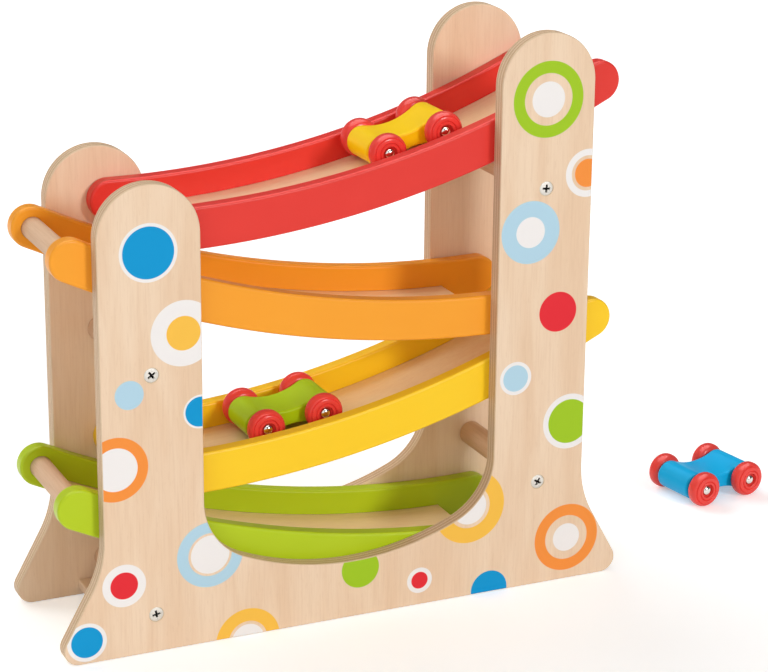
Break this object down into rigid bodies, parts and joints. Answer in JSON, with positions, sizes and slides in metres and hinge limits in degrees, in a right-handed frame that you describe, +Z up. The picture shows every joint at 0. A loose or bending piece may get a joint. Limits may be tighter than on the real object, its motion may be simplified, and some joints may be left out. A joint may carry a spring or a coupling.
{
  "type": "wooden racing track",
  "caption": "Toy race track: plywood panels carry painted curved ramps that slope left and right in turn, for small wooden cars to roll down from ramp to ramp.",
  "frame": {"origin": "middle of the front panel's resting edge, at the panel's mid-thickness, on the table", "axes": "+X along the panels towards the tall uprights, +Y from the front panel to the back panel, +Z up"},
  "size_m": [0.4756, 0.113, 0.32],
  "materials": {
    "birch_plywood": "sanded and clear-lacquered, with printed dots",
    "red_paint": "satin gloss paint on wood",
    "orange_paint": "satin gloss paint on wood",
    "yellow_paint": "satin gloss paint on wood",
    "green_paint": "satin gloss paint on wood",
    "blue_paint": "satin gloss paint on wood",
    "ramp_floor": "clear-lacquered thin plywood",
    "beech_dowel": "sanded beech",
    "steel_screw": "zinc-plated",
    "steel_pin": "polished nickel"
  },
  "bodies": {
    "frame": {"front_panel": "birch_plywood", "back_panel": "birch_plywood", "foot_strip": "birch_plywood", "green_front_rail": "green_paint", "green_back_rail": "green_paint", "green_floor": "ramp_floor", "green_stop": "beech_dowel", "yellow_front_rail": "yellow_paint", "yellow_back_rail": "yellow_paint", "yellow_floor": "ramp_floor", "yellow_stop": "beech_dowel", "orange_front_rail": "orange_paint", "orange_back_rail": "orange_paint", "orange_floor": "ramp_floor", "orange_stop": "beech_dowel", "red_front_rail": "red_paint", "red_back_rail": "red_paint", "red_floor": "ramp_floor", "red_stop": "beech_dowel", "crossbar_left_upper": "beech_dowel", "front_screw_left_upper": "steel_screw", "back_screw_left_upper": "steel_screw", "crossbar_left_lower": "beech_dowel", "front_screw_left_lower": "steel_screw", "back_screw_left_lower": "steel_screw", "crossbar_right_upper": "beech_dowel", "front_screw_right_upper": "steel_screw", "back_screw_right_upper": "steel_screw", "crossbar_right_lower": "beech_dowel", "front_screw_right_lower": "steel_screw", "back_screw_right_lower": "steel_screw"},
    "yellow_car": {"yellow_car_body": "yellow_paint", "yellow_car_front_left_pin": "steel_pin", "yellow_car_front_right_pin": "steel_pin", "yellow_car_rear_left_pin": "steel_pin", "yellow_car_rear_right_pin": "steel_pin"},
    "yellow_car_front_left_wheel": {"yellow_car_front_left_wheel": "red_paint"},
    "yellow_car_front_right_wheel": {"yellow_car_front_right_wheel": "red_paint"},
    "yellow_car_rear_left_wheel": {"yellow_car_rear_left_wheel": "red_paint"},
    "yellow_car_rear_right_wheel": {"yellow_car_rear_right_wheel": "red_paint"},
    "green_car": {"green_car_body": "green_paint", "green_car_front_left_pin": "steel_pin", "green_car_front_right_pin": "steel_pin", "green_car_rear_left_pin": "steel_pin", "green_car_rear_right_pin": "steel_pin"},
    "green_car_front_left_wheel": {"green_car_front_left_wheel": "red_paint"},
    "green_car_front_right_wheel": {"green_car_front_right_wheel": "red_paint"},
    "green_car_rear_left_wheel": {"green_car_rear_left_wheel": "red_paint"},
    "green_car_rear_right_wheel": {"green_car_rear_right_wheel": "red_paint"},
    "blue_car": {"blue_car_body": "blue_paint", "blue_car_front_left_pin": "steel_pin", "blue_car_front_right_pin": "steel_pin", "blue_car_rear_left_pin": "steel_pin", "blue_car_rear_right_pin": "steel_pin"},
    "blue_car_front_left_wheel": {"blue_car_front_left_wheel": "red_paint"},
    "blue_car_front_right_wheel": {"blue_car_front_right_wheel": "red_paint"},
    "blue_car_rear_left_wheel": {"blue_car_rear_left_wheel": "red_paint"},
    "blue_car_rear_right_wheel": {"blue_car_rear_right_wheel": "red_paint"}
  },
  "joints": [
    {"name": "yellow_car_roll", "type": "hinge", "parent": "frame", "child": "yellow_car", "pos_m": [-0.0968, 0.0477, 0.78955], "axis": [0, 1, 0], "range_deg": [-7.1, 13]},
    {"name": "yellow_car_front_left_spin", "type": "hinge", "parent": "yellow_car", "child": "yellow_car_front_left_wheel", "pos_m": [0.03399, 0.0287, 0.25404], "axis": [0, -1, 0], "continuous": true},
    {"name": "yellow_car_front_right_spin", "type": "hinge", "parent": "yellow_car", "child": "yellow_car_front_right_wheel", "pos_m": [0.03399, 0.0667, 0.25404], "axis": [0, -1, 0], "continuous": true},
    {"name": "yellow_car_rear_left_spin", "type": "hinge", "parent": "yellow_car", "child": "yellow_car_rear_left_wheel", "pos_m": [0.06723, 0.0287, 0.26327], "axis": [0, -1, 0], "continuous": true},
    {"name": "yellow_car_rear_right_spin", "type": "hinge", "parent": "yellow_car", "child": "yellow_car_rear_right_wheel", "pos_m": [0.06723, 0.0667, 0.26327], "axis": [0, -1, 0], "continuous": true},
    {"name": "green_car_roll", "type": "hinge", "parent": "frame", "child": "green_car", "pos_m": [-0.0968, 0.0477, 0.65355], "axis": [0, 1, 0], "range_deg": [-14.6, 5.4]},
    {"name": "green_car_front_left_spin", "type": "hinge", "parent": "green_car", "child": "green_car_front_left_wheel", "pos_m": [-0.03747, 0.0287, 0.1055], "axis": [0, -1, 0], "continuous": true},
    {"name": "green_car_front_right_spin", "type": "hinge", "parent": "green_car", "child": "green_car_front_right_wheel", "pos_m": [-0.03747, 0.0667, 0.1055], "axis": [0, -1, 0], "continuous": true},
    {"name": "green_car_rear_left_spin", "type": "hinge", "parent": "green_car", "child": "green_car_rear_left_wheel", "pos_m": [-0.0033, 0.0287, 0.11029], "axis": [0, -1, 0], "continuous": true},
    {"name": "green_car_rear_right_spin", "type": "hinge", "parent": "green_car", "child": "green_car_rear_right_wheel", "pos_m": [-0.0033, 0.0667, 0.11029], "axis": [0, -1, 0], "continuous": true},
    {"name": "blue_car_roll", "type": "slide", "parent": "frame", "child": "blue_car", "axis": [0.9877, 0.1564, 0], "range_m": [-0.075, 0.1]},
    {"name": "blue_car_front_left_spin", "type": "hinge", "parent": "blue_car", "child": "blue_car_front_left_wheel", "pos_m": [0.29326, 0.10297, 0.01075], "axis": [-0.1564, 0.9877, 0], "continuous": true},
    {"name": "blue_car_front_right_spin", "type": "hinge", "parent": "blue_car", "child": "blue_car_front_right_wheel", "pos_m": [0.29921, 0.06543, 0.01075], "axis": [-0.1564, 0.9877, 0], "continuous": true},
    {"name": "blue_car_rear_left_spin", "type": "hinge", "parent": "blue_car", "child": "blue_car_rear_left_wheel", "pos_m": [0.25919, 0.09757, 0.01075], "axis": [-0.1564, 0.9877, 0], "continuous": true},
    {"name": "blue_car_rear_right_spin", "type": "hinge", "parent": "blue_car", "child": "blue_car_rear_right_wheel", "pos_m": [0.26514, 0.06003, 0.01075], "axis": [-0.1564, 0.9877, 0], "continuous": true}
  ]
}
